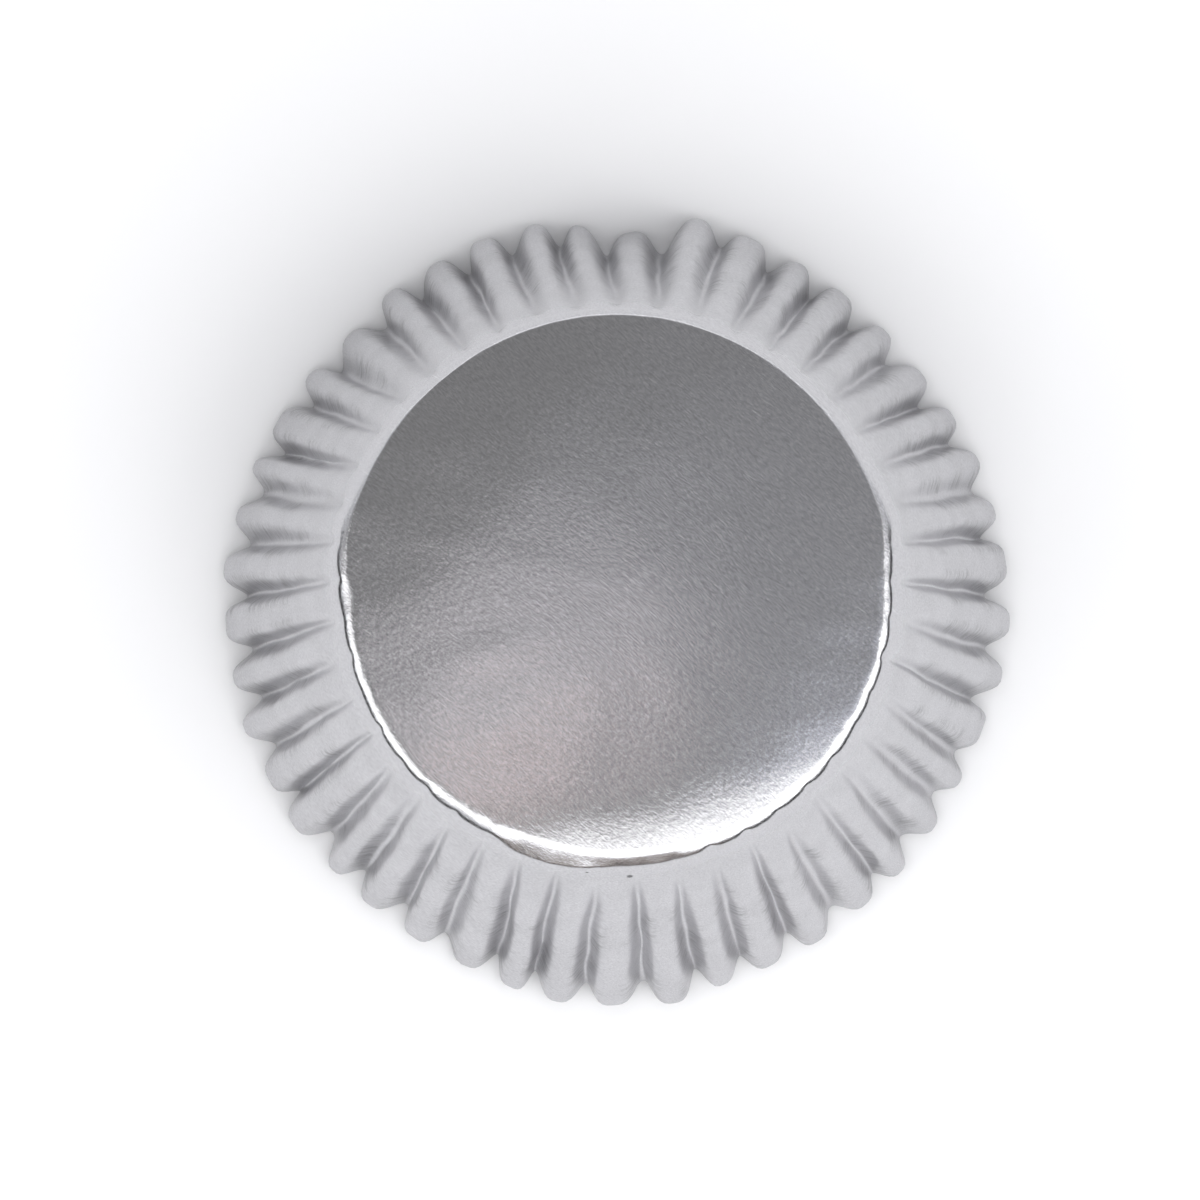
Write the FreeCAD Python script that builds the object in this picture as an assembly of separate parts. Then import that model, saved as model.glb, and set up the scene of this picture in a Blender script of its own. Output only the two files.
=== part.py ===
import FreeCAD, Part
import math
import os

# A foil cupcake liner standing upside down on its rim: one pressed sheet.
# The origin is the centre of the rim on the table, +Z runs up through the base.

# Driving dimensions, millimetres
base_diameter = 50.8        # where the base plane and the lines of the crests would meet
rim_diameter = 75.0         # over the crests of the flutes
wall_length = 31.75         # along the sheet, from the base corner to the rim
sheet_thickness = 0.08
corner_radius = 0.7         # outside of the bend between base and wall
flute_count = 45
flute_depth = 2.0           # crest to valley, at the rim
flute_growth = 0.65         # the depth follows this power of the way down the wall
crest_fullness = 0.94       # height of the poles beside the crest: more is a broader crest
valley_fullness = 0.52      # height of the poles beside the valley: more is a narrower valley

# Fineness of the spline net that carries the wall
net_rows = 9
poles_per_flute = 6
spline_degree = 3

base_radius = base_diameter / 2
rim_radius = rim_diameter / 2
wall_slope = math.acos((rim_radius - base_radius) / wall_length)    # of a crest, below level
bend_setback = corner_radius * math.tan(wall_slope / 2)
flat_radius = base_radius - bend_setback
pole_count = flute_count * poles_per_flute
pole_step = 2 * math.pi / pole_count
down_knots = [float(knot) for knot in range(net_rows - spline_degree + 1)]
seam_angle = math.pi / 2                                            # a valley lies on +Y
up = FreeCAD.Vector(0, 0, 1)


def turned(point, angle):
    """Point swung about the axis."""
    return FreeCAD.Rotation(up, math.degrees(angle)).multVec(point)


def flute_depth_at(share, plain_share):
    """Depth of the flutes at a share of the way down the wall; the first part is plain."""
    fluted = max(0.0, share - plain_share) / (1 - plain_share)
    return flute_depth * fluted ** flute_growth


def outer_line(height):
    """Poles of one line down the outside of the wall, in the XZ plane, base plane at z = 0.

    The height is 0 in a valley and 1 on a crest. Each line has the same length
    of sheet, so the steeper valleys end lower at the rim than the crests.
    """
    shares = [(row / (net_rows - 1)) ** 2 for row in range(net_rows)]
    sheet = wall_length - bend_setback
    start = FreeCAD.Vector(math.cos(wall_slope), 0, -math.sin(wall_slope)) * bend_setback
    poles = [FreeCAD.Vector(base_radius, 0, 0) + start]
    for above, share in zip(shares, shares[1:]):
        crest = base_radius + (bend_setback + sheet * share) * math.cos(wall_slope)
        radius = crest - (1 - height) * flute_depth_at(share, shares[1])
        drop = math.sqrt((sheet * (share - above)) ** 2 - (radius - poles[-1].x) ** 2)
        poles.append(FreeCAD.Vector(radius, 0, poles[-1].z - drop))
    return poles


def outer_flute():
    """Lines of poles across one flute of the outside, from one valley to before the next."""
    valley = -valley_fullness / 2
    crest = 1.5 - crest_fullness / 2
    flank = [valley_fullness, crest_fullness]
    return [outer_line(height) for height in [valley, *flank, crest, *reversed(flank)]]


def inner_flute(outer):
    """The same lines moved in by the sheet thickness, square to the outside."""
    normals = []
    for column, line in enumerate(outer):
        before = [turned(pole, -pole_step) for pole in outer[column - 1]]
        after = [turned(pole, pole_step) for pole in outer[(column + 1) % poles_per_flute]]
        across = [b - a for a, b in zip(after, before)]
        down = [line[1] - line[0]] + [low - high for high, low in zip(line, line[1:])]
        normals.append([a.cross(b).normalize() for a, b in zip(across, down)])
    inner = []
    for column, line in enumerate(outer):
        beside = [a + b for a, b in zip(normals[column - 1], normals[(column + 1) % poles_per_flute])]
        # a cubic spline cuts inside its poles where they turn, so there the poles move further
        reach = [(4 + pair.dot(normal)) / 6 for pair, normal in zip(beside, normals[column])]
        moves = [normal * (-sheet_thickness / r) for normal, r in zip(normals[column], reach)]
        inner.append([pole + move for pole, move in zip(line, moves)])
    return inner


def wall_surface(flute):
    """Smooth surface through the lines of one flute, repeated around the axis."""
    inside_poles = (2 + math.cos(pole_step)) / 3        # radius of the spline over its poles'
    net = []
    for column in range(pole_count):
        # the surface starts over its second column of poles, so a valley lies there
        place = seam_angle + pole_step * (column - 1)
        line = [turned(pole, place) for pole in flute[(column - 1) % poles_per_flute]]
        net.append([FreeCAD.Vector(p.x / inside_poles, p.y / inside_poles, p.z) for p in line])
    around_knots = [float(knot) for knot in range(pole_count + 1)]
    end = spline_degree + 1
    surface = Part.BSplineSurface()
    surface.buildFromPolesMultsKnots(
        net, [1] * len(around_knots), [end] + [1] * (len(down_knots) - 2) + [end],
        around_knots, down_knots, True, False, spline_degree, spline_degree)
    return surface


def wall_faces(flute):
    """The wall as one face per flute, from valley to valley."""
    surface = wall_surface(flute)
    faces = []
    for column in range(0, pole_count, poles_per_flute):
        panel = surface.copy()
        panel.segment(column, column + poles_per_flute, down_knots[0], down_knots[-1])
        faces.append(panel.toShape())
    return faces


def corner_faces(radius):
    """Bend between the base and the wall, as one piece of a torus per flute."""
    centre = FreeCAD.Vector(flat_radius, 0, -corner_radius)
    swings = [0, wall_slope / 2, wall_slope]
    points = [centre + FreeCAD.Vector(math.sin(s), 0, math.cos(s)) * radius for s in swings]
    pitch = 2 * math.pi / flute_count
    faces = []
    for flute in range(flute_count):
        place = seam_angle + flute * pitch
        bend = Part.Arc(*[turned(point, place) for point in points]).toShape()
        faces.append(bend.revolve(FreeCAD.Vector(), up, math.degrees(pitch)))
    return faces


def base_face(corners):
    """Flat disc of the base, inside the upper edges of the corner faces."""
    upper = [max(corner.Edges, key=lambda edge: edge.BoundBox.ZMin) for corner in corners]
    return Part.Face(Part.Wire(upper))


def rim_faces(outer_walls, inner_walls):
    """Cut edge of the sheet, from the outside of each flute to its inside."""
    faces = []
    for pair in zip(outer_walls, inner_walls):
        lowest = [min(wall.Edges, key=lambda edge: edge.BoundBox.ZMax) for wall in pair]
        faces.append(Part.makeRuledSurface(*lowest))
    return faces


def liner():
    """The whole sheet, base up, with its lowest folds on the plane z = 0."""
    outer = outer_flute()
    outer_walls = wall_faces(outer)
    inner_walls = wall_faces(inner_flute(outer))
    outer_corners = corner_faces(corner_radius)
    inner_corners = corner_faces(corner_radius - sheet_thickness)
    shell = Part.makeShell([
        base_face(outer_corners), *outer_corners, *outer_walls,
        *rim_faces(outer_walls, inner_walls),
        *inner_walls, *inner_corners, base_face(inner_corners)])
    shell.sewShape()
    solid = Part.makeSolid(shell)
    if solid.Volume < 0:
        solid.reverse()
    solid.translate(up * -min(vertex.Z for vertex in solid.Vertexes))
    return solid


def main():
    os.makedirs("parts", exist_ok=True)
    sheet = liner()
    sheet.exportStep("parts/liner.step")
    box = sheet.optimalBoundingBox(False, False)
    print("valid", sheet.isValid(), "faces", len(sheet.Faces), "volume", round(sheet.Volume, 2))
    print("size", round(box.XLength, 3), round(box.YLength, 3), round(box.ZLength, 3))


main()
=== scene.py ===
"""A foil cupcake liner standing upside down on its rim, seen from just above its base."""

import logging
import math
import random
from dataclasses import dataclass, field
from enum import Enum

import bpy
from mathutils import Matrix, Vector, noise


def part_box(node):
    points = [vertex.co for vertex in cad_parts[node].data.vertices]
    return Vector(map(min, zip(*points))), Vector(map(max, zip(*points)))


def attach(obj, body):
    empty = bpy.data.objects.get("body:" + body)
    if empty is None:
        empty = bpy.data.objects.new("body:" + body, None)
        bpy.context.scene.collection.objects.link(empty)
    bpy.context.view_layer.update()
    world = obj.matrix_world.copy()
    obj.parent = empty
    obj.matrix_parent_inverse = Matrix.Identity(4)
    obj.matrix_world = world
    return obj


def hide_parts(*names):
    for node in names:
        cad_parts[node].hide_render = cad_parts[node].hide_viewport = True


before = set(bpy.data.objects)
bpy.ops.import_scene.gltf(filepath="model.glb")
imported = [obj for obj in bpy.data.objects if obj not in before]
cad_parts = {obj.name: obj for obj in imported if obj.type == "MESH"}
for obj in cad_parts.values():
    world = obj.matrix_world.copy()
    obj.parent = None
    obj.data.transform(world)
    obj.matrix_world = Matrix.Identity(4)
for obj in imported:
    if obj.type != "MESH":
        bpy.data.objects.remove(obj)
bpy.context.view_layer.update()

MM = 0.001
GATHER = "gather"  # mesh attribute: how far the sheet is gathered, signed by the flank
LOG = logging.getLogger("liner")
Tree = bpy.types.NodeTree
Socket = bpy.types.NodeSocket
Span = tuple[float, float]


def linear(colour: str) -> tuple[float, float, float, float]:
    """Turn an sRGB hex colour to the linear values that shaders take.

    Args:
        colour: six hex digits with a leading hash.

    Returns:
        Linear red, green, blue and an alpha of one.
    """
    parts = [int(colour[start:start + 2], 16) / 255 for start in (1, 3, 5)]
    red, green, blue = (
        part / 12.92 if part <= 0.04045 else ((part + 0.055) / 1.055) ** 2.4 for part in parts)
    return red, green, blue, 1.0


def smooth(low: float, high: float, value: float) -> float:
    """Ease from 0 to 1.

    Args:
        low: value up to which the result is 0.
        high: value from which the result is 1.
        value: the value to ease.

    Returns:
        A number from 0 to 1.
    """
    share = min(1.0, max(0.0, (value - low) / (high - low)))
    return share * share * (3 - 2 * share)


def blended(first: float, second: float, share: float) -> float:
    """Go in a straight line from one number, at a share of 0, to another, at 1."""
    return first * (1 - share) + second * share


def add_node(tree: Tree, kind: str, inputs: dict | None = None, **settings) -> bpy.types.Node:
    """Add one node with its settings and its inputs.

    Args:
        tree: node tree that takes the node.
        kind: Blender's name of the node type.
        inputs: input socket, by name or number, to its value or the output that feeds it.
        **settings: properties of the node.

    Returns:
        The new node.
    """
    node = tree.nodes.new(kind)
    for key, value in settings.items():
        setattr(node, key, value)
    for socket, value in (inputs or {}).items():
        if isinstance(value, Socket):
            tree.links.new(value, node.inputs[socket])
        else:
            node.inputs[socket].default_value = value
    return node


@dataclass(frozen=True)
class Prick:
    """A small pit in the wall, darkened in the colour as painted shade."""

    place: tuple[float, float, float]
    size: float


@dataclass(frozen=True)
class RolledFoil:
    """Aluminium foil, rolled and then pressed: a metal mirror blurred by its rolling lines.

    The base keeps the satin shine of the rolled sheet, with a fine grain all one way. The
    wall, drawn down and gathered, is duller, and the flanks of its flutes are feathered
    with small wrinkles. The wrinkles, soft patches of the wall and the pricks are darkened
    in the colour as painted shade. A range is the stretch of noise over which its pattern
    fades in.
    """

    name: str = "rolled_aluminium_foil"
    colour: str = "#d1d1d3"
    groove_colour: str = "#b7b6b9"  # of the bottoms of the rolling lines
    scratch_colour: str = "#ecedee"
    base_roughness: float = 0.19
    wall_roughness: float = 0.32
    wall_top: float = 28.6 * MM  # the wall's finish starts under this
    wall_fade: float = 3.0 * MM  # and is whole this much lower
    # Rolling lines really lie a few hundredths of a millimetre apart, which is too fine to
    # show, so these are several times as coarse.
    line_spacing: float = 0.12 * MM
    line_stretch: float = 4.5  # length of a line over its width
    line_angle_deg: float = -42.0
    line_depth: float = 0.014 * MM
    line_range: Span = (0.3, 0.7)
    peel_spacing: float = 0.45 * MM  # soft orange peel left by pressing
    peel_depth: float = 0.013 * MM
    wrinkle_length: float = 1.6 * MM
    wrinkle_spacing: float = 0.42 * MM
    wrinkle_lean: float = 0.75  # rise away from a valley, per length
    wrinkle_depth: float = 0.045 * MM
    # painted shade: share of the colour that the wrinkles take away
    wrinkle_shade: float = 0.34
    wrinkle_range: Span = (0.42, 0.66)
    flank_range: Span = (0.35, 0.95)  # of gathering, from crest to flank
    patch_spacing: float = 4.0 * MM  # the wrinkles lie in patches
    patch_range: Span = (0.40, 0.60)
    patch_least: float = 0.15
    mottle_range: Span = (0.35, 0.65)
    mottle_shade: float = 0.05  # painted shade: soft darker mottling of the wall, for the shading of small dents
    wall_radius: float = 33.0 * MM  # halfway down, turns angles to lengths
    scratch_length: float = 3.0 * MM
    scratch_spacing: float = 0.17 * MM
    scratch_angle_deg: float = -34.0
    scratch_range: Span = (0.71, 0.80)
    scratch_most: float = 0.6
    prick_edge: float = 1.6  # outer end of a prick's ragged edge
    prick_light: float = 0.25  # painted shade: share of the colour left in a prick
    pricks: tuple[Prick, ...] = (
        Prick((1.20 * MM, -26.43 * MM, 26.84 * MM), 0.36 * MM),
        Prick((-2.77 * MM, -25.99 * MM, 27.51 * MM), 0.17 * MM))

    def rolling_lines(self, tree: Tree, place: Socket) -> Socket:
        """Draw the fine lines that the rolls leave, all one way.

        Args:
            tree: node tree of the foil.
            place: position on the liner.

        Returns:
            Height of the lines, from 0 to 1.
        """
        along = add_node(
            tree, "ShaderNodeMapping",
            {"Vector": place, "Rotation": (0, 0, math.radians(self.line_angle_deg)),
             "Scale": (self.line_stretch, 1, 1)}, vector_type="TEXTURE").outputs[0]
        return add_node(
            tree, "ShaderNodeTexNoise",
            {"Vector": along, "Scale": 1 / self.line_spacing, "Detail": 2.0,
             "Roughness": 0.6}).outputs[0]

    def scratches(self, tree: Tree, place: Socket, wall: Socket) -> Socket:
        """Draw sparse light scratches on the base.

        Args:
            tree: node tree of the foil.
            place: position on the liner.
            wall: 0 on the base, 1 on the wall.

        Returns:
            Share of the scratch's colour.
        """
        along = add_node(
            tree, "ShaderNodeMapping",
            {"Vector": place, "Rotation": (0, 0, math.radians(self.scratch_angle_deg)),
             "Scale": (self.scratch_length, self.scratch_spacing, 1)},
            vector_type="TEXTURE").outputs[0]
        streaks = add_node(
            tree, "ShaderNodeTexNoise", {"Vector": along, "Scale": 1.0, "Detail": 1.0}).outputs[0]
        low, high = self.scratch_range
        scratched = add_node(
            tree, "ShaderNodeMapRange",
            {"Value": streaks, "From Min": low, "From Max": high,
             "To Max": self.scratch_most}).outputs[0]
        return add_node(
            tree, "ShaderNodeMapRange",
            {"Value": wall, "To Min": scratched, "To Max": 0.0}).outputs[0]

    def wrinkles(self, tree: Tree, axes: bpy.types.NodeOutputs,
                 gather: Socket) -> Socket:
        """Draw wrinkles that lean up and away from each valley, like the barbs of a feather.

        Args:
            tree: node tree of the foil.
            axes: the three parts of the position on the liner.
            gather: how far the sheet is gathered, signed by the flank.

        Returns:
            Height of the wrinkles, from 0 to 1.
        """
        side = add_node(tree, "ShaderNodeMath", {0: gather}, operation="SIGN").outputs[0]
        lean = add_node(
            tree, "ShaderNodeMath", {0: side, 1: self.wrinkle_lean},
            operation="MULTIPLY").outputs[0]
        turn = add_node(
            tree, "ShaderNodeMath", {0: axes["X"], 1: axes["Y"]}, operation="ARCTAN2").outputs[0]
        around = add_node(
            tree, "ShaderNodeMath", {0: turn, 1: self.wall_radius},
            operation="MULTIPLY").outputs[0]
        rise = add_node(
            tree, "ShaderNodeMath", {0: around, 1: lean, 2: axes["Z"]},
            operation="MULTIPLY_ADD").outputs[0]
        unrolled = add_node(tree, "ShaderNodeCombineXYZ", {"X": around, "Y": rise}).outputs[0]
        fan = add_node(
            tree, "ShaderNodeMapping",
            {"Vector": unrolled,
             "Scale": (1 / self.wrinkle_length, 1 / self.wrinkle_spacing, 1)}).outputs[0]
        return add_node(
            tree, "ShaderNodeTexNoise",
            {"Vector": fan, "Scale": 1.0, "Detail": 2.0, "Roughness": 0.5}).outputs[0]

    def wrinkling(self, tree: Tree, gather: Socket, patches: Socket) -> Socket:
        """Say where the wrinkles lie: in patches on the flanks of the flutes.

        Args:
            tree: node tree of the foil.
            gather: how far the sheet is gathered, signed by the flank.
            patches: soft noise.

        Returns:
            Strength of the wrinkles, from 0 to 1.
        """
        share = add_node(tree, "ShaderNodeMath", {0: gather}, operation="ABSOLUTE").outputs[0]
        low, high = self.flank_range
        flank = add_node(
            tree, "ShaderNodeMapRange", {"Value": share, "From Min": low, "From Max": high},
            interpolation_type="SMOOTHSTEP").outputs[0]
        low, high = self.patch_range
        patchy = add_node(
            tree, "ShaderNodeMapRange",
            {"Value": patches, "From Min": low, "From Max": high,
             "To Min": self.patch_least}).outputs[0]
        return add_node(
            tree, "ShaderNodeMath", {0: flank, 1: patchy}, operation="MULTIPLY").outputs[0]

    def paint_shade(self, tree: Tree, creases: Socket, strength: Socket, patches: Socket,
             wall: Socket) -> Socket:
        """Darken the wrinkles with painted shade, and mottle the wall a little with painted
        shade.

        Args:
            tree: node tree of the foil.
            creases: height of the wrinkles.
            strength: where the wrinkles lie.
            patches: soft noise.
            wall: 0 on the base, 1 on the wall.

        Returns:
            Share of the colour that is left.
        """
        low, high = self.wrinkle_range
        creased = add_node(
            tree, "ShaderNodeMapRange",
            {"Value": creases, "From Min": low, "From Max": high}).outputs[0]
        shaded = add_node(
            tree, "ShaderNodeMath", {0: strength, 1: creased}, operation="MULTIPLY").outputs[0]
        low, high = self.mottle_range
        # painted shade: soft darker patches over the wall, standing in for the shading of small
        # dents
        mottled = add_node(
            tree, "ShaderNodeMapRange",
            {"Value": patches, "From Min": low, "From Max": high, "To Max": self.mottle_shade},
            interpolation_type="SMOOTHSTEP").outputs[0]
        wall_mottle_shade = add_node(
            tree, "ShaderNodeMath", {0: mottled, 1: wall}, operation="MULTIPLY").outputs[0]
        # painted shade: darker colour in the wrinkles
        light = add_node(
            tree, "ShaderNodeMath", {0: shaded, 1: -self.wrinkle_shade, 2: 1.0},
            operation="MULTIPLY_ADD").outputs[0]
        return add_node(
            tree, "ShaderNodeMath", {0: light, 1: wall_mottle_shade}, operation="SUBTRACT").outputs[0]

    def pricked(self, tree: Tree, place: Socket, lines: Socket, light: Socket) -> Socket:
        """Darken the pricks with painted shade, their edges made ragged by the rolling lines.

        Args:
            tree: node tree of the foil.
            place: position on the liner.
            lines: height of the rolling lines.
            light: share of the colour that is left without the pricks.

        Returns:
            Share of the colour that is left with them.
        """
        for prick in self.pricks:
            away = add_node(
                tree, "ShaderNodeVectorMath", {0: place, 1: prick.place},
                operation="DISTANCE").outputs["Value"]
            ragged = add_node(
                tree, "ShaderNodeMath", {0: lines, 1: prick.size, 2: away},
                operation="MULTIPLY_ADD").outputs[0]
            # painted shade in the pit
            pit_shade = add_node(
                tree, "ShaderNodeMapRange",
                {"Value": ragged, "From Min": prick.size,
                 "From Max": self.prick_edge * prick.size, "To Min": self.prick_light},
                interpolation_type="SMOOTHSTEP").outputs[0]
            light = add_node(
                tree, "ShaderNodeMath", {0: pit_shade, 1: light}, operation="MULTIPLY").outputs[0]
        return light

    def relief(self, tree: Tree, place: Socket, lines: Socket, creases: Socket,
               strength: Socket) -> Socket:
        """Raise the rolling lines, the orange peel and the wrinkles.

        Args:
            tree: node tree of the foil.
            place: position on the liner.
            lines: height of the rolling lines.
            creases: height of the wrinkles.
            strength: where the wrinkles lie.

        Returns:
            Normal for the shader.
        """
        peel = add_node(
            tree, "ShaderNodeTexNoise",
            {"Vector": place, "Scale": 1 / self.peel_spacing, "Detail": 2.0,
             "Roughness": 0.5}).outputs[0]
        lined = add_node(
            tree, "ShaderNodeBump",
            {"Height": lines, "Strength": 1.0, "Distance": self.line_depth}).outputs[0]
        peeled = add_node(
            tree, "ShaderNodeBump",
            {"Height": peel, "Normal": lined, "Strength": 1.0,
             "Distance": self.peel_depth}).outputs[0]
        return add_node(
            tree, "ShaderNodeBump",
            {"Height": creases, "Normal": peeled, "Strength": strength,
             "Distance": self.wrinkle_depth}).outputs[0]

    def material(self) -> bpy.types.Material:
        """Build the foil's material."""
        made = bpy.data.materials.new(self.name)
        made.use_nodes = True
        tree = made.node_tree
        tree.nodes.clear()
        place = add_node(tree, "ShaderNodeTexCoord").outputs["Object"]
        axes = add_node(tree, "ShaderNodeSeparateXYZ", {0: place}).outputs
        gather = add_node(tree, "ShaderNodeAttribute", attribute_name=GATHER).outputs["Fac"]
        wall = add_node(
            tree, "ShaderNodeMapRange",
            {"Value": axes["Z"], "From Min": self.wall_top,
             "From Max": self.wall_top - self.wall_fade},
            interpolation_type="SMOOTHSTEP").outputs[0]
        patches = add_node(
            tree, "ShaderNodeTexNoise",
            {"Vector": place, "Scale": 1 / self.patch_spacing, "Detail": 1.0}).outputs[0]
        lines = self.rolling_lines(tree, place)
        creases = self.wrinkles(tree, axes, gather)
        strength = self.wrinkling(tree, gather, patches)
        low, high = self.line_range
        tint = add_node(
            tree, "ShaderNodeMapRange",
            {"Value": lines, "From Min": low, "From Max": high}).outputs[0]
        lined = add_node(
            tree, "ShaderNodeMix",
            {"Factor": tint, 6: linear(self.groove_colour), 7: linear(self.colour)},
            data_type="RGBA").outputs[2]
        scratched = add_node(
            tree, "ShaderNodeMix",
            {"Factor": self.scratches(tree, place, wall), 6: lined,
             7: linear(self.scratch_colour)}, data_type="RGBA").outputs[2]
        # painted shade: colour darkened in the wrinkles and in soft patches of the wall
        painted_shade = self.paint_shade(tree, creases, strength, patches, wall)
        colour = add_node(
            tree, "ShaderNodeVectorMath",
            {0: scratched, "Scale": self.pricked(tree, place, lines, painted_shade)},
            operation="SCALE").outputs[0]
        roughness = add_node(
            tree, "ShaderNodeMapRange",
            {"Value": wall, "To Min": self.base_roughness,
             "To Max": self.wall_roughness}).outputs[0]
        shader = add_node(
            tree, "ShaderNodeBsdfPrincipled",
            {"Base Color": colour, "Metallic": 1.0, "Roughness": roughness,
             "Normal": self.relief(tree, place, lines, creases, strength)})
        add_node(tree, "ShaderNodeOutputMaterial", {"Surface": shader.outputs[0]})
        return made


@dataclass(frozen=True)
class MattPaper:
    """Uncoated paper or card of one colour: no shine, so it only fills the foil's reflections."""

    name: str = "white_seamless_paper"
    colour: str = "#f4f4f5"
    roughness: float = 0.9

    def material(self) -> bpy.types.Material:
        """Build the paper's material."""
        made = bpy.data.materials.new(self.name)
        made.use_nodes = True
        shader = made.node_tree.nodes["Principled BSDF"]
        shader.inputs["Base Color"].default_value = linear(self.colour)
        shader.inputs["Roughness"].default_value = self.roughness
        return made


class Band(Enum):
    """Stretch of the sheet that a ring of points lies on."""

    BASE = "base"
    BEND = "bend"
    WALL = "wall"


@dataclass(frozen=True)
class Ring:
    """One ring of points on the smooth blank before the flutes are pressed."""

    band: Band
    share: float  # of the way across its band
    radius: float
    z: float


@dataclass(frozen=True)
class Ripple:
    """Smooth unevenness round the axis, which meets itself after a full turn."""

    size: float
    frequency: float  # about how many swings to a radian
    pattern: float = 0.0  # tells one ripple from another

    def at(self, angle_deg: float, layer: float = 0.0) -> float:
        """Read the ripple.

        Args:
            angle_deg: place round the axis.
            layer: place across the ripple.

        Returns:
            A value between minus the size and the size.
        """
        place = math.radians(angle_deg)
        return self.size * noise.noise(Vector((
            math.cos(place) * self.frequency, math.sin(place) * self.frequency,
            self.pattern + layer)))


@dataclass(frozen=True)
class Swell:
    """Gentle unevenness over the base."""

    size: float
    length_x: float
    length_y: float
    pattern: tuple[float, float, float] = (0.0, 0.0, 0.0)

    def at(self, x: float, y: float) -> float:
        """Height of the swell at a place on the base."""
        across = Vector((x / self.length_x, y / self.length_y, 0))
        return self.size * noise.noise(across + Vector(self.pattern))


@dataclass
class Base:
    """The base after handling: a low dome that rolls off in front, softly uneven."""

    radius: float  # of the base up to the bend
    rings: int = 17
    crowding: float = 1.6  # of the rings towards the edge
    crown: float = 0.55 * MM  # of the middle over the base's plane
    dome: float = 1.1 * MM  # fall from the middle to the edge
    roll_off: float = 0.38 * MM  # further fall of the front edge
    roll_start: float = 0.74  # share of the radius where it begins
    roll_spread: float = 0.6  # less takes the roll further round the edge
    roll_way: Span = (0.26, -0.966)
    swells: tuple[Swell, ...] = (
        Swell(0.09 * MM, 15 * MM, 15 * MM, (3.1, 0.0, 0.0)),
        Swell(0.02 * MM, 5 * MM, 5 * MM),
        Swell(0.026 * MM, 8 * MM, 3 * MM, (0.0, 0.0, 4.2)))

    def shares(self) -> list[float]:
        """Radii of the rings, as shares of the whole radius."""
        return [1 - (1 - i / self.rings) ** self.crowding for i in range(1, self.rings + 1)]

    def lift(self, angle_deg: float, radius: float) -> float:
        """Height of the base over its plane.

        Args:
            angle_deg: place round the axis.
            radius: distance from it; past the edge the base's own slope goes on.

        Returns:
            The height, which can be negative.
        """
        place = math.radians(angle_deg)
        x, y = math.cos(place) * radius, math.sin(place) * radius
        out = radius / self.radius
        ahead = max(0.0, math.cos(place) * self.roll_way[0] + math.sin(place) * self.roll_way[1])
        roll = max(0.0, out * ahead ** self.roll_spread - self.roll_start) / (1 - self.roll_start)
        uneven = sum(swell.at(x, y) for swell in self.swells)
        return self.crown - self.dome * out ** 2 - self.roll_off * roll ** 2 + uneven


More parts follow.
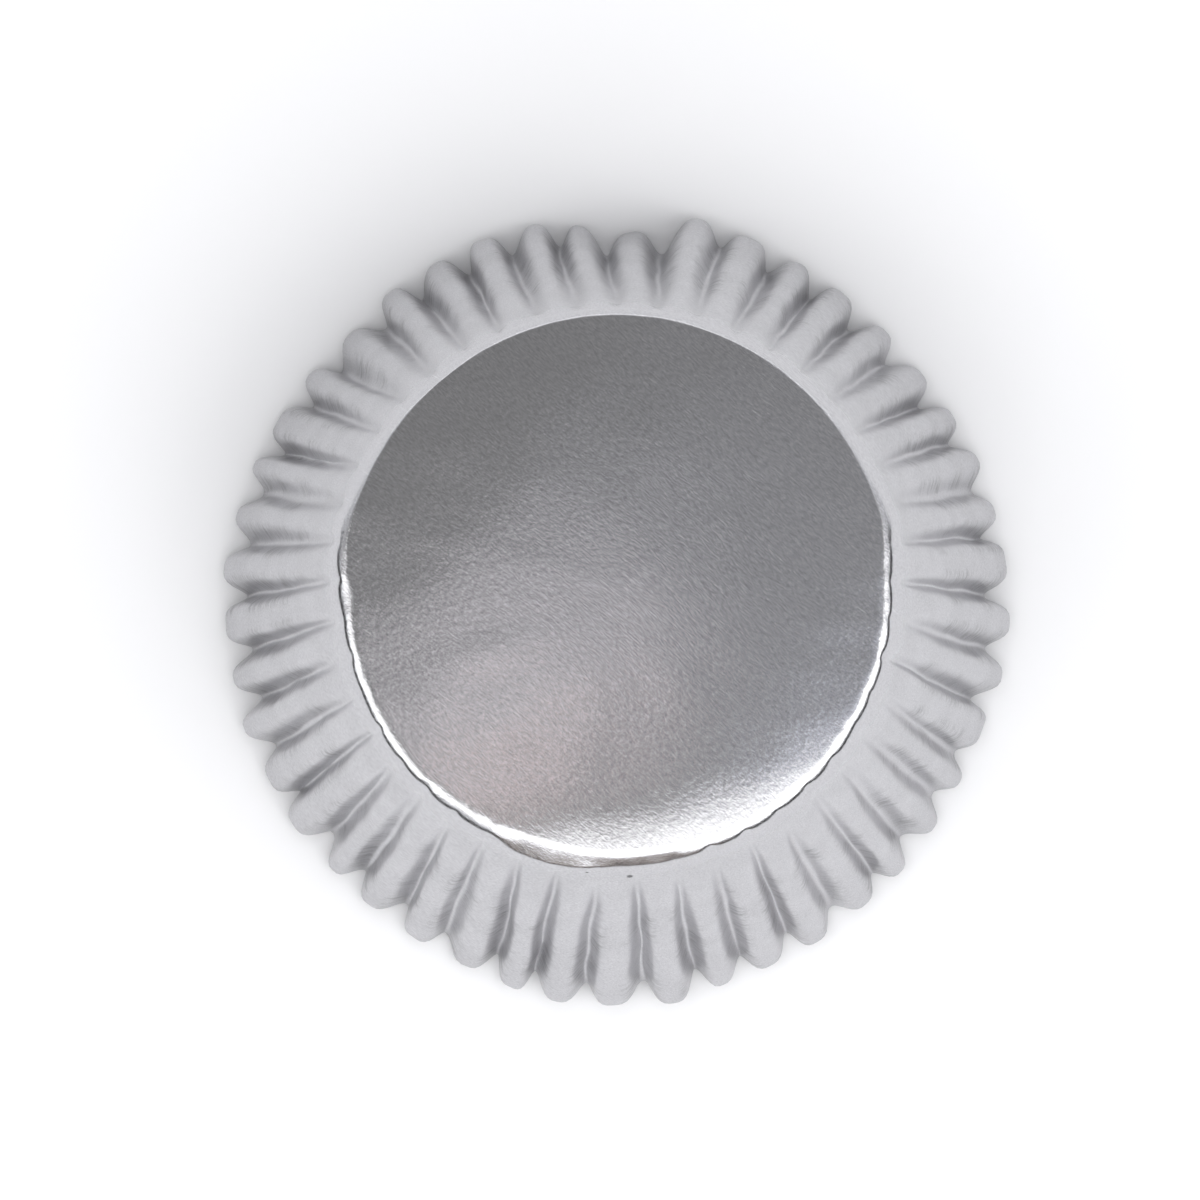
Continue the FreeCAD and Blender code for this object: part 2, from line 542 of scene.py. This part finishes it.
@dataclass
class Corner:
    """The bend between base and wall, which tightens towards the wall.

    At the back it is a sharp crease that stands further out. In front it is crushed to an
    uneven flat, and elsewhere the valleys of the flutes pull its lower edge in.
    """

    slope: float  # of the wall, below level
    rings: int = 8
    length: float = 1.8 * MM  # of sheet in the bend
    tightening: float = 1.8  # power of the slope's growth
    wobble: Ripple = Ripple(0.14 * MM, 4.0)  # of the edge, in and out
    wobble_range: Span = (0.0, 0.4)  # way across the bend where it comes in
    crinkle: Ripple = Ripple(0.035 * MM, 17.0)  # of the bend, up and down
    crinkle_layers: float = 1.5  # of its pattern across the bend
    scallop: float = 0.17 * MM  # pull of a valley on the lower edge
    scallop_mean: float = 0.8  # share of it, before the swing
    scallop_swing: Ripple = Ripple(1.6, 5.0, 9.1)
    scallop_range: Span = (0.3, 1.0)  # way across the bend where it comes in
    scallop_lost: float = 0.75  # share that full crushing takes away
    crinkle_lost: float = 0.7  # likewise
    crush_start_deg: Span = (242.0, 250.0)  # the crushing eases in here
    crush_end_deg: Span = (282.0, 288.0)  # and out here
    nicks: Ripple = Ripple(1.0, 4.3, 2.7)  # small crushed places all round
    nick_range: Span = (0.15, 0.55)
    nick_share: float = 0.35  # of the crushing in front
    chamfer: float = 1.05 * MM  # width of the crushed flat
    chamfer_inset: float = 0.34 * MM  # from the end of the base
    chamfer_drop: float = 0.52 * MM
    chamfer_step: float = 0.04 * MM  # down to its upper edge
    chamfer_hollow: float = 1.25  # power of its fall
    chamfer_uneven: float = 0.22  # of its fall,
    chamfer_swings: float = 14.0  # with so many swings to a radian
    chamfer_pattern: float = 5.5
    flare: float = 0.75  # the flat's left is this much larger,
    flare_end_deg: Span = (256.0, 272.0)  # up to here
    crease_out: float = 1.38 * MM  # how far out the crease stands
    crease_at_sides: float = 0.82  # share of that beside the back
    crease_range: Span = (-0.06, 0.26)  # way back over which it comes in
    crease_lean: float = 0.04  # it comes further forward on the left
    crease_slope_deg: float = 42.0  # of the sheet that leaves it
    crease_length: float = 1.44 * MM  # of that sheet, to the wall
    sharp_range: Span = (-0.05, 0.55)  # way back over which it sharpens
    section: list[tuple[float, float]] = field(init=False)

    def __post_init__(self) -> None:
        """Work out the even bend, as the way out and up of each ring from the base's end."""
        step = self.length / self.rings
        out = up = 0.0
        self.section = []
        for row in range(self.rings):
            turn = self.slope * ((row + 0.5) / self.rings) ** self.tightening
            out += step * math.cos(turn)
            up -= step * math.sin(turn)
            self.section.append((out, up))

    def sharpness(self, angle_deg: float) -> float:
        """Share of the sharp crease at an angle: 1 at the back and 0 in front."""
        return smooth(*self.sharp_range, math.sin(math.radians(angle_deg)))

    def crease(self, angle_deg: float) -> float:
        """How far the edge stands out from the end of the even base, at the sides and back."""
        place = math.radians(angle_deg)
        way_back = math.sin(place) - self.crease_lean * math.cos(place)
        reach = blended(self.crease_at_sides, 1.0, math.sin(place) ** 4)
        return self.crease_out * reach * smooth(*self.crease_range, way_back)

    def crush(self, angle_deg: float) -> float:
        """Share of crushing at an angle: 1 in front, and slight in a few nicks elsewhere."""
        angle_deg %= 360
        front = smooth(*self.crush_start_deg, angle_deg)
        front *= 1 - smooth(*self.crush_end_deg, angle_deg)
        nick = self.nick_share * smooth(*self.nick_range, self.nicks.at(angle_deg))
        return max(front, nick * (1 - self.sharpness(angle_deg)))

    def flat(self, share: float, angle_deg: float) -> tuple[float, float]:
        """Place of a point on the crushed flat.

        Args:
            share: of the way across the bend.
            angle_deg: place round the axis.

        Returns:
            The way out and up from the end of the even base.
        """
        large = 1 + self.flare * (1 - smooth(*self.flare_end_deg, angle_deg % 360))
        uneven = self.chamfer_uneven * noise.noise(
            Vector((math.radians(angle_deg) * self.chamfer_swings, share, self.chamfer_pattern)))
        out = self.chamfer_inset * (2 - large) + self.chamfer * large * share
        fall = self.chamfer_drop * (large + uneven) * share ** self.chamfer_hollow
        return out, -self.chamfer_step - fall

    def creased(self, share: float) -> tuple[float, float]:
        """Place of a point on the sharp crease, before the crease is moved out.

        Args:
            share: of the way across the bend.

        Returns:
            The way out and up from the crease.
        """
        first = 1 / self.rings
        run = max(0.0, share - first) / (1 - first)
        turn = blended(math.radians(self.crease_slope_deg), self.slope, run / 2)
        reach = self.crease_length * run
        return reach * math.cos(turn), -reach * math.sin(turn)

    def point(self, row: int, angle_deg: float, height: float) -> tuple[float, float]:
        """Place of one point of the bend after pressing and handling.

        Args:
            row: ring of the bend, from 0.
            angle_deg: place round the axis.
            height: 0 over a valley, 1 over a crest.

        Returns:
            The way out and up from the end of the even base.
        """
        share = (row + 1) / self.rings
        crush, sharp = self.crush(angle_deg), self.sharpness(angle_deg)
        out, up = (
            blended(even, flat, crush)
            for even, flat in zip(self.section[row], self.flat(share, angle_deg)))
        out, up = (
            blended(soft, hard, sharp) for soft, hard in zip((out, up), self.creased(share)))
        out += self.crease(angle_deg)
        out += self.wobble.at(angle_deg) * smooth(*self.wobble_range, share)
        strength = max(0.0, self.scallop_mean + self.scallop_swing.at(angle_deg))
        pull = self.scallop * strength * (1 - height) * smooth(*self.scallop_range, share)
        out -= pull * (1 - max(self.scallop_lost * crush, sharp))
        wave = self.crinkle.at(angle_deg, self.crinkle_layers * share)
        up -= wave * math.sin(math.pi * share) * (1 - self.crinkle_lost * crush)
        return out, up


@dataclass
class Flute:
    """One flute as the press and the packing left it."""

    valley_turn_deg: float  # of the valley before the flute, round the axis
    crest_turn_deg: float
    lift: float  # of the crest
    sink: float  # of the valley before the flute
    start: float  # from the corner down to where that valley begins
    skew: float  # of the crest to one side


@dataclass(frozen=True)
class Line:
    """One line down the wall, with what the flute and the next one give it."""

    number: int  # of its flute
    across: float  # share of the way from the flute's first valley to its second
    angle_deg: float  # place round the axis, without any wandering
    turn_deg: float
    lift: float
    sink: float
    start: float
    skew: float
    dent: float  # push at the rim


@dataclass(frozen=True)
class Dent:
    """A crushed place in the rim."""

    angle_deg: float
    half_width_deg: float
    depth: float

    def push(self, angle_deg: float) -> float:
        """How far the rim is pushed in at an angle."""
        away = (angle_deg - self.angle_deg + 180) % 360 - 180
        return self.depth * math.exp(-0.5 * (away / self.half_width_deg) ** 2)


@dataclass
class Wall:
    """The fluted wall, laid line by line so that each line keeps its length of sheet."""

    height: float  # of the base's plane over the table
    slope: float  # of the smooth wall, below level
    top_radius: float  # of the smooth wall at the corner
    length: float  # of sheet from the corner to the rim
    rings: int = 28
    crowding: float = 1.35  # of the rings towards the corner
    flute_count: int = 45
    columns_per_flute: int = 18
    column_crowding: float = 0.55  # of the columns towards the valleys
    first_valley_deg: float = 90.0
    flute_depth: float = 2.0 * MM  # at the rim, on the left and right
    flute_growth: float = 0.65  # power of the depth's growth downwards
    deeper_ends: float = 0.12  # share more in front and at the back
    deeper_back: float = 0.10  # and yet more at the back
    opened_range: Span = (0.3, 1.0)  # way back over which valleys open
    rounding: float = 0.45  # of the bottoms of the valleys
    fullness: float = 1.8  # of the crests: more is broader
    narrowing: float = 0.7  # added to it just under the corner,
    narrow_range: Span = (0.0, 0.6)  # and gone this far down the wall
    widening: Span = (0.75, 0.35)  # taken off it at the back, by the corner and by the rim,
    widen_range: Span = (0.2, 0.9)  # changing over this far down
    # The spreads and drifts below are standard deviations, from flute to flute.
    seed: int = 11
    valley_drift_deg: float = 0.45
    crest_drift_deg: float = 0.3
    height_spread: float = 0.16 * MM
    start_range: Span = (0.5 * MM, 2.6 * MM)  # from the corner down to a valley's start
    start_shares: Span = (1.2, 0.3)  # of that start, in front and at the back
    skew_spread: float = 0.28
    skew_most: float = 0.4  # keeps a leaning crest clear of its valleys
    sway_deg: float = 0.5  # of a flute from side to side
    sway_swings: Span = (0.6, 5.0)  # across a flute and down the wall
    sway_pattern: float = 7.3
    turn_range: Span = (0.0, 0.8)  # way down over which flutes drift
    bulge_fade: float = 4.5 * MM  # the corner's own bulge dies out over this
    shoulder: float = 0.6 * MM  # bulge of the wall under the corner
    shoulder_back: float = 0.5  # more at the back, less in front
    shoulder_fade: float = 3.0 * MM  # down to its fullest
    buckle: float = 0.11 * MM  # small dents all over
    buckle_spacing: float = 2.2 * MM
    buckle_range: Span = (0.0, 0.4)  # way down over which they come in
    steepest_run: float = 0.97  # most of a step that may go outwards
    # Slow waves of the rim: how many in a turn, and how large. They are the same on both
    # sides of the line through front and back.
    rim_waves: tuple[tuple[int, float], ...] = (
        (2, 0.26 * MM), (3, 0.07 * MM), (4, 0.37 * MM), (7, 0.16 * MM))
    dents: tuple[Dent, ...] = (Dent(87.5, 4.5, 1.6 * MM),)
    dent_growth: float = 1.6  # power of a dent's growth downwards
    gather_range: Span = (0.12, 0.45)  # way down over which it is gathered
    flutes: list[Flute] = field(init=False)

    def __post_init__(self) -> None:
        """Draw the unevenness of the flutes, and pinch those at the back."""
        draw = random.Random(self.seed)
        self.flutes = [
            Flute(
                valley_turn_deg=draw.gauss(0, self.valley_drift_deg),
                crest_turn_deg=draw.gauss(0, self.crest_drift_deg),
                lift=draw.gauss(0, self.height_spread), sink=draw.gauss(0, self.height_spread),
                start=draw.uniform(*self.start_range),
                skew=max(-self.skew_most, min(self.skew_most, draw.gauss(0, self.skew_spread))))
            for _ in range(self.flute_count)]
        self.pinch()

    def pinch(self) -> None:
        """Draw together the flutes that were crushed at the back, and spread the one beside."""
        self.flutes[1].valley_turn_deg = 1.2
        self.flutes[0] = Flute(
            valley_turn_deg=1.6, crest_turn_deg=0.2, lift=-0.3 * MM, sink=0.0,
            start=1.5 * MM, skew=0.0)
        self.flutes[-1] = Flute(
            valley_turn_deg=0.9, crest_turn_deg=0.75, lift=-0.1 * MM, sink=0.25 * MM,
            start=1.0 * MM, skew=0.1)
        self.flutes[-2] = Flute(
            valley_turn_deg=0.0, crest_turn_deg=0.15, lift=0.6 * MM, sink=-0.75 * MM,
            start=2.0 * MM, skew=0.0)

    @property
    def columns(self) -> int:
        """Number of lines down the wall."""
        return self.flute_count * self.columns_per_flute

    def shares(self) -> list[float]:
        """Places of the rings down the wall, as shares of its length."""
        return [(i / self.rings) ** self.crowding for i in range(1, self.rings + 1)]

    def column_at(self, spot: Vector) -> int:
        """Column of an evenly spaced point of the blank."""
        turned = math.degrees(math.atan2(spot.y, spot.x)) - self.first_valley_deg
        return round(turned % 360 * self.columns / 360) % self.columns

    def line(self, column: int) -> Line:
        """Work out what shapes one line down the wall.

        Args:
            column: number of the line, from the first valley on.

        Returns:
            The line, with the values of its flute and the next one blended.
        """
        number, step = divmod(column, self.columns_per_flute)
        flute, after = self.flutes[number], self.flutes[(number + 1) % self.flute_count]
        even = step / self.columns_per_flute
        across = even - self.column_crowding * math.sin(2 * math.pi * even) / (2 * math.pi)
        angle = self.first_valley_deg + 360 * (number + across) / self.flute_count
        back = math.sin(math.radians(angle))
        late = blended(*self.start_shares, (1 + back) / 2)
        return Line(
            number=number, across=across, angle_deg=angle,
            turn_deg=(blended(flute.valley_turn_deg, after.valley_turn_deg, across)
                      + flute.crest_turn_deg * 4 * across * (1 - across)),
            lift=flute.lift, sink=blended(flute.sink, after.sink, across),
            start=blended(flute.start, after.start, across) * late, skew=flute.skew,
            dent=sum(dent.push(angle) for dent in self.dents))

    def opened(self, angle_deg: float) -> float:
        """Share by which the valleys are opened wide at an angle: 1 at the back."""
        return smooth(*self.opened_range, math.sin(math.radians(angle_deg)))

    def profile(self, line: Line, down: float) -> float:
        """Height of the sheet across a flute.

        Args:
            line: where it is read.
            down: share of the way down the wall.

        Returns:
            0 in a valley and 1 on the crest.
        """
        swing = line.skew * math.sin(2 * math.pi * line.across) / (2 * math.pi)
        wave = math.sin(math.pi * (line.across + swing))
        lowest, highest = self.rounding, math.hypot(1, self.rounding)
        height = (math.hypot(wave, self.rounding) - lowest) / (highest - lowest)
        opened = self.opened(line.angle_deg)
        narrow = self.narrowing * (1 - smooth(*self.narrow_range, down)) * (1 - opened)
        wide = blended(*self.widening, smooth(*self.widen_range, down)) * opened
        return 1 - (1 - height) ** (self.fullness + narrow - wide)

    def rim_wave(self, angle_deg: float) -> float:
        """How far the slow waves move the rim out at an angle."""
        from_front = math.radians(angle_deg + 90)
        return sum(size * math.cos(count * from_front) for count, size in self.rim_waves)

    def wander(self, line: Line, down: float, fluted: float) -> float:
        """How far a line strays round the axis.

        Args:
            line: the line.
            down: share of the way down the wall.
            fluted: share of the way down its flute.

        Returns:
            The way round, in degrees.
        """
        across, along = self.sway_swings
        sway = noise.noise(Vector((
            line.number + line.across * across, down * along, self.sway_pattern)))
        drift = line.turn_deg * smooth(*self.turn_range, down)
        return drift + self.sway_deg * math.sqrt(fluted) * sway

    def reach(self, line: Line, down: float, fluted: float, bulge: float) -> float:
        """Distance of a point of the wall from the axis, but for its small dents.

        Args:
            line: the line that the point is on.
            down: share of the way down the wall.
            fluted: share of the way down its flute.
            bulge: how far out the line leaves the corner, over its even place.

        Returns:
            The distance.
        """
        along = self.length * down
        height = self.profile(line, down)
        back = math.sin(math.radians(line.angle_deg))
        deeper = self.deeper_ends * back ** 2 + self.deeper_back * self.opened(line.angle_deg)
        depth = self.flute_depth * fluted ** self.flute_growth * (1 + deeper)
        shoulder = self.shoulder * (1 + self.shoulder_back * back)
        moved = line.lift * height - line.sink * (1 - height) + self.rim_wave(line.angle_deg)
        return (self.top_radius + along * math.cos(self.slope)
                + bulge * math.exp(-along / self.bulge_fade)
                + shoulder * (1 - math.exp(-along / self.shoulder_fade) - down)
                + moved * down - (1 - height) * depth - line.dent * down ** self.dent_growth)

    def points(self, line: Line, radius: float, z: float, rise: float) -> list[Vector]:
        """Lay one line of the sheet down from the corner, each point at its place along it.

        Args:
            line: the line to lay.
            radius: distance from the axis where it leaves the corner.
            z: height there.
            rise: how far that height is over the even one, which the rim doesn't follow.

        Returns:
            The points of the line.
        """
        bulge = radius - self.top_radius
        last = 0.0
        made = []
        for down in self.shares():
            along = self.length * down
            fluted = max(0.0, along - line.start) / (self.length - line.start)
            angle = math.radians(line.angle_deg + self.wander(line, down, fluted))
            reach = self.reach(line, down, fluted, bulge)
            spot = Vector((
                math.cos(angle) * reach, math.sin(angle) * reach, self.height * (1 - down)))
            dented = noise.noise(spot / self.buckle_spacing)
            reach += self.buckle * smooth(*self.buckle_range, down) * dented
            run = min(abs(reach - radius), self.steepest_run * (along - last))
            z -= math.sqrt((along - last) ** 2 - run ** 2)
            radius, last = reach, along
            made.append(Vector((
                math.cos(angle) * reach, math.sin(angle) * reach, z - rise * down)))
        return made

    def gather(self, column: int, down: float) -> float:
        """How far the sheet is gathered, from -1 on one flank through 0 to 1 on the other."""
        across = column % self.columns_per_flute / self.columns_per_flute
        return math.sin(2 * math.pi * across) * smooth(*self.gather_range, down)


@dataclass
class FoilLiner:
    """The whole liner: one sheet with a flat base, a bent corner and a fluted wall."""

    height: float  # of the base's plane over the table
    rim_radius: float = 37.5 * MM
    base_radius: float = 25.4 * MM  # where the base's plane and the smooth wall would meet
    wall_length: float = 31.75 * MM
    sheet: float = 0.08 * MM
    base_reach: float = 0.05 * MM  # the base ends this far inside the crease at the back
    base_stretch: int = 5  # power of the base's growth towards that crease
    smooth_under_deg: float = 65.0  # a fold under this angle is shaded smooth
    name: str = "foil_liner"
    base: Base = field(init=False)
    corner: Corner = field(init=False)
    wall: Wall = field(init=False)

    def __post_init__(self) -> None:
        """Work out the base, the corner and the wall from the driving sizes."""
        slope = math.acos((self.rim_radius - self.base_radius) / self.wall_length)
        self.corner = Corner(slope)
        out, up = self.corner.section[-1]
        bend_end = self.base_radius - up / math.tan(slope)
        self.base = Base(bend_end - out)
        self.wall = Wall(self.height, slope, bend_end, self.wall_length + up / math.sin(slope))

    def rings(self) -> list[Ring]:
        """List the rings of the smooth blank from the middle of the base to the rim."""
        made = [
            Ring(Band.BASE, share, self.base.radius * share, self.height)
            for share in self.base.shares()]
        for row, (out, up) in enumerate(self.corner.section, 1):
            made.append(Ring(
                Band.BEND, row / self.corner.rings, self.base.radius + out, self.height + up))
        top = made[-1]
        for share in self.wall.shares():
            along = self.wall.length * share
            made.append(Ring(
                Band.WALL, share, top.radius + along * math.cos(self.wall.slope),
                top.z - along * math.sin(self.wall.slope)))
        return made

    def raise_blank(self) -> bpy.types.Object:
        """Draw the smooth cup out of a small disc, ring by ring."""
        rings = self.rings()
        bpy.ops.object.select_all(action="DESELECT")
        bpy.ops.mesh.primitive_circle_add(
            vertices=self.wall.columns, radius=rings[0].radius, fill_type="TRIFAN",
            location=(0, 0, rings[0].z))
        piece = bpy.context.active_object
        piece.name = piece.data.name = self.name
        bpy.ops.object.transform_apply(location=True, rotation=True, scale=True)
        bpy.ops.object.mode_set(mode="EDIT")
        bpy.ops.mesh.select_mode(type="EDGE")
        bpy.ops.mesh.select_all(action="DESELECT")
        bpy.ops.mesh.select_non_manifold()
        for last, ring in zip(rings, rings[1:]):
            bpy.ops.mesh.extrude_edges_move(
                TRANSFORM_OT_translate={"value": (0, 0, ring.z - last.z)})
            scale = ring.radius / last.radius
            bpy.ops.transform.resize(value=(scale, scale, 1), center_override=(0, 0, ring.z))
        bpy.ops.mesh.select_all(action="SELECT")
        bpy.ops.mesh.normals_make_consistent(inside=False)
        bpy.ops.object.mode_set(mode="OBJECT")
        return piece

    def top_point(self, row: int, ring: Ring, line: Line) -> Vector:
        """Pressed place of a point of the base or the corner.

        Args:
            row: number of its ring, from the middle.
            ring: the ring itself.
            line: line down the wall that the point lies over.

        Returns:
            The place.
        """
        up = 0.0
        if ring.band is Band.BASE:
            stretch = max(0.0, self.corner.crease(line.angle_deg) - self.base_reach)
            radius = ring.radius + stretch * ring.share ** self.base_stretch
        else:
            out, up = self.corner.point(
                row - self.base.rings, line.angle_deg, self.wall.profile(line, 0))
            radius = self.base.radius + out
        z = self.height + self.base.lift(line.angle_deg, radius) + up
        place = math.radians(line.angle_deg)
        return Vector((math.cos(place) * radius, math.sin(place) * radius, z))

    def wall_points(self, line: Line) -> list[Vector]:
        """Pressed places of the points of one line, from under the corner to the rim."""
        out, up = self.corner.point(
            self.corner.rings - 1, line.angle_deg, self.wall.profile(line, 0))
        radius = self.base.radius + out
        lift = self.base.lift(line.angle_deg, radius) + up
        even = self.corner.section[-1][1]
        return self.wall.points(line, radius, self.height + lift, lift - even)

    def press(self, piece: bpy.types.Object) -> None:
        """Move the blank's points to their pressed places, and note where it is gathered."""
        rings = self.rings()
        first_wall = len(rings) - self.wall.rings
        lines = [self.wall.line(column) for column in range(self.wall.columns)]
        pressed = [self.wall_points(line) for line in lines]
        middle = min(piece.data.vertices, key=lambda vertex: vertex.co.xy.length)
        middle.co.z += self.base.lift(0, 0)
        others = [vertex for vertex in piece.data.vertices if vertex.index != middle.index]
        gather = piece.data.attributes.new(GATHER, "FLOAT", "POINT").data
        for index, vertex in enumerate(others):
            row = index // self.wall.columns
            column = self.wall.column_at(vertex.co)
            if rings[row].band is Band.WALL:
                vertex.co = pressed[column][row - first_wall]
                gather[vertex.index].value = self.wall.gather(column, rings[row].share)
            else:
                vertex.co = self.top_point(row, rings[row], lines[column])

    def seat(self, piece: bpy.types.Object) -> None:
        """Let the lowest folds down or up to the table by stretching the wall a little."""
        lowest = min(vertex.co.z for vertex in piece.data.vertices)
        LOG.info("lowest fold before seating: %.3f mm", lowest / MM)
        for vertex in piece.data.vertices:
            vertex.co.z -= lowest * (1 - smooth(0, self.height, vertex.co.z))

    def thicken(self, piece: bpy.types.Object) -> None:
        """Give the sheet its thickness inwards and smooth its shading."""
        bpy.context.view_layer.objects.active = piece
        piece.select_set(True)
        solid = piece.modifiers.new("sheet", "SOLIDIFY")
        solid.thickness = self.sheet
        solid.offset = -1
        bpy.ops.object.modifier_apply(modifier=solid.name)
        bpy.ops.object.shade_smooth_by_angle(angle=math.radians(self.smooth_under_deg))

    def build(self) -> bpy.types.Object:
        """Make the liner and put it in place of the plain solid."""
        piece = self.raise_blank()
        self.press(piece)
        self.seat(piece)
        self.thicken(piece)
        piece.data.materials.append(RolledFoil().material())
        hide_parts("liner")
        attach(piece, "root")
        return piece


def toward(azimuth_deg: float, elevation_deg: float) -> Vector:
    """Direction from the liner.

    Args:
        azimuth_deg: 0 is the front and 90 the right side.
        elevation_deg: over the table.

    Returns:
        A vector of length one.
    """
    around, up = math.radians(azimuth_deg), math.radians(elevation_deg)
    level = Vector((math.sin(around), -math.cos(around), 0))
    return level * math.cos(up) + Vector((0, 0, math.sin(up)))


@dataclass
class Softbox:
    """A soft lamp that faces the liner."""

    name: str
    azimuth_deg: float
    elevation_deg: float
    width: float
    height: float
    radiance: float  # of its front, where 1 shows as white
    colour: str = "#ffffff"
    distance: float = 1.2

    def build(self) -> bpy.types.Object:
        """Add the lamp, aimed at the liner."""
        back = toward(self.azimuth_deg, self.elevation_deg)
        lamp = bpy.data.lights.new(self.name, "AREA")
        lamp.shape = "RECTANGLE"
        lamp.size, lamp.size_y = self.width, self.height
        # the watts that give a flat lamp of this area that radiance
        lamp.energy = self.radiance * math.pi * self.width * self.height
        lamp.color = linear(self.colour)[:3]
        made = bpy.data.objects.new(self.name, lamp)
        made.location = back * self.distance
        made.rotation_euler = back.to_track_quat("Z", "Y").to_euler()
        made.visible_camera = False
        bpy.context.scene.collection.objects.link(made)
        return made


@dataclass
class Card:
    """A card standing on the table that only the foil sees, as a line along its corner."""

    azimuth_deg: float
    colour: str
    width: float = 0.76
    height: float = 0.42
    distance: float = 1.0

    def build(self) -> bpy.types.Object:
        """Stand the card up, facing the liner."""
        foot = toward(self.azimuth_deg, 0) * self.distance
        bpy.ops.object.select_all(action="DESELECT")
        bpy.ops.mesh.primitive_plane_add(
            size=1, location=foot + Vector((0, 0, self.height / 2)),
            rotation=(math.radians(90), 0, math.radians(self.azimuth_deg)))
        made = bpy.context.active_object
        made.name = "reflection_card"
        made.scale = (self.width, self.height, 1)
        made.data.materials.append(MattPaper("coloured_card", self.colour).material())
        made.visible_camera = made.visible_diffuse = made.visible_shadow = False
        return made


@dataclass
class Studio:
    """White table, pale room with a dim ceiling, soft lamps and low cards."""

    table_radius: float = 1.4
    table_gap: float = 0.05 * MM  # under the lowest folds, to keep the table clear of them
    wall_colour: str = "#e7e8eb"
    ceiling_colour: str = "#929292"
    ceiling_edge_deg: Span = (8.0, 60.0)  # from its middle, where it lightens
    ceiling_lean: Span = (-0.20, 0.13)  # of its middle, left and back
    cards: list[Card] = field(default_factory=lambda: [
        Card(-82, "#2b2a2b"), Card(-41, "#2b2a2b"), Card(41, "#2b2a2b"), Card(82, "#2b2a2b"),
        Card(0, "#b3aaa3"), Card(0, "#3f3028", height=0.19, distance=0.97)])
    lamps: list[Softbox] = field(default_factory=lambda: [
        Softbox("front_softbox", 10, 50, 1.36, 1.0, 1.75),
        Softbox("left_softbox", -66, 45, 0.8, 0.73, 1.75),
        Softbox("right_softbox", 66, 45, 0.8, 0.73, 1.75),
        Softbox("rear_softbox", 180, 6, 3.6, 0.26, 1.12, distance=1.4),
        Softbox("right_bounce_card", 66, 72, 0.30, 0.24, 0.57, "#e3eaff"),
        Softbox("warm_bounce_card", -38, 80, 0.13, 0.12, 0.50, "#ffa681"),
        Softbox("left_bounce_card", -64, 83, 0.24, 0.36, 0.69, "#fdfaff"),
        Softbox("ceiling_bounce", 142, 82, 0.32, 0.34, 0.075, "#e2e8ff"),
    ])

    def table(self) -> bpy.types.Object:
        """Lay the round white table."""
        bpy.ops.object.select_all(action="DESELECT")
        bpy.ops.mesh.primitive_circle_add(
            vertices=96, radius=self.table_radius, fill_type="NGON",
            location=(0, 0, -self.table_gap))
        made = bpy.context.active_object
        made.name = "table"
        made.data.materials.append(MattPaper().material())
        return made

    def room(self) -> None:
        """Light the room: pale all round, dim overhead."""
        world = bpy.data.worlds.new("studio")
        bpy.context.scene.world = world
        world.use_nodes = True
        tree = world.node_tree
        tree.nodes.clear()
        way = add_node(tree, "ShaderNodeTexCoord").outputs["Generated"]
        lean = Vector((*self.ceiling_lean, 1)).normalized()
        up = add_node(
            tree, "ShaderNodeVectorMath", {0: way, 1: lean},
            operation="DOT_PRODUCT").outputs["Value"]
        inner, outer = (math.cos(math.radians(edge)) for edge in self.ceiling_edge_deg)
        overhead = add_node(
            tree, "ShaderNodeMapRange", {"Value": up, "From Min": outer, "From Max": inner},
            interpolation_type="SMOOTHSTEP").outputs[0]
        colour = add_node(
            tree, "ShaderNodeMix",
            {"Factor": overhead, 6: linear(self.wall_colour), 7: linear(self.ceiling_colour)},
            data_type="RGBA").outputs[2]
        glow = add_node(tree, "ShaderNodeBackground", {"Color": colour, "Strength": 1.0})
        add_node(tree, "ShaderNodeOutputWorld", {"Surface": glow.outputs[0]})

    def build(self) -> None:
        """Set up the table, the cards, the room and the lamps."""
        self.table()
        for card in self.cards:
            card.build()
        self.room()
        for lamp in self.lamps:
            lamp.build()
        view = bpy.context.scene.view_settings
        view.view_transform = "Standard"
        view.look = "None"


@dataclass
class PhotoCamera:
    """Camera over the liner, a few degrees in front of straight above."""

    elevation_deg: float = 86.8
    distance: float = 720 * MM
    picture: int = 1200  # pixels along each side
    rim_centre: Span = (617.0, 608.0)  # pixels from the top left
    rim_radius_pixels: float = 389.3
    rim_radius: float = 37.5 * MM
    sensor: float = 36.0  # millimetres, as the lens is
    nearest: float = 0.05
    farthest: float = 20.0

    def build(self) -> bpy.types.Object:
        """Place the camera so that the rim falls where the photograph has it."""
        back = toward(0, self.elevation_deg)
        scale = self.rim_radius_pixels / self.rim_radius
        data = bpy.data.cameras.new("camera")
        data.sensor_width = self.sensor
        data.lens = scale * self.distance * self.sensor / self.picture
        data.shift_x = (self.picture / 2 - self.rim_centre[0]) / self.picture
        data.shift_y = (self.rim_centre[1] - self.picture / 2) / self.picture
        data.clip_start, data.clip_end = self.nearest, self.farthest
        made = bpy.data.objects.new("camera", data)
        made.location = back * self.distance
        made.rotation_euler = back.to_track_quat("Z", "Y").to_euler()
        bpy.context.scene.collection.objects.link(made)
        bpy.context.scene.camera = made
        return made


def main() -> None:
    """Build the liner, its studio and the camera."""
    logging.basicConfig(level=logging.INFO, format="%(message)s")
    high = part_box("liner")[1]
    liner = FoilLiner(height=high.z).build()
    LOG.info("%s: %d faces", liner.name, len(liner.data.polygons))
    Studio().build()
    LOG.info("studio: table, room, lamps and cards")
    PhotoCamera().build()
    LOG.info("camera placed")


if __name__ == "__main__":
    main()
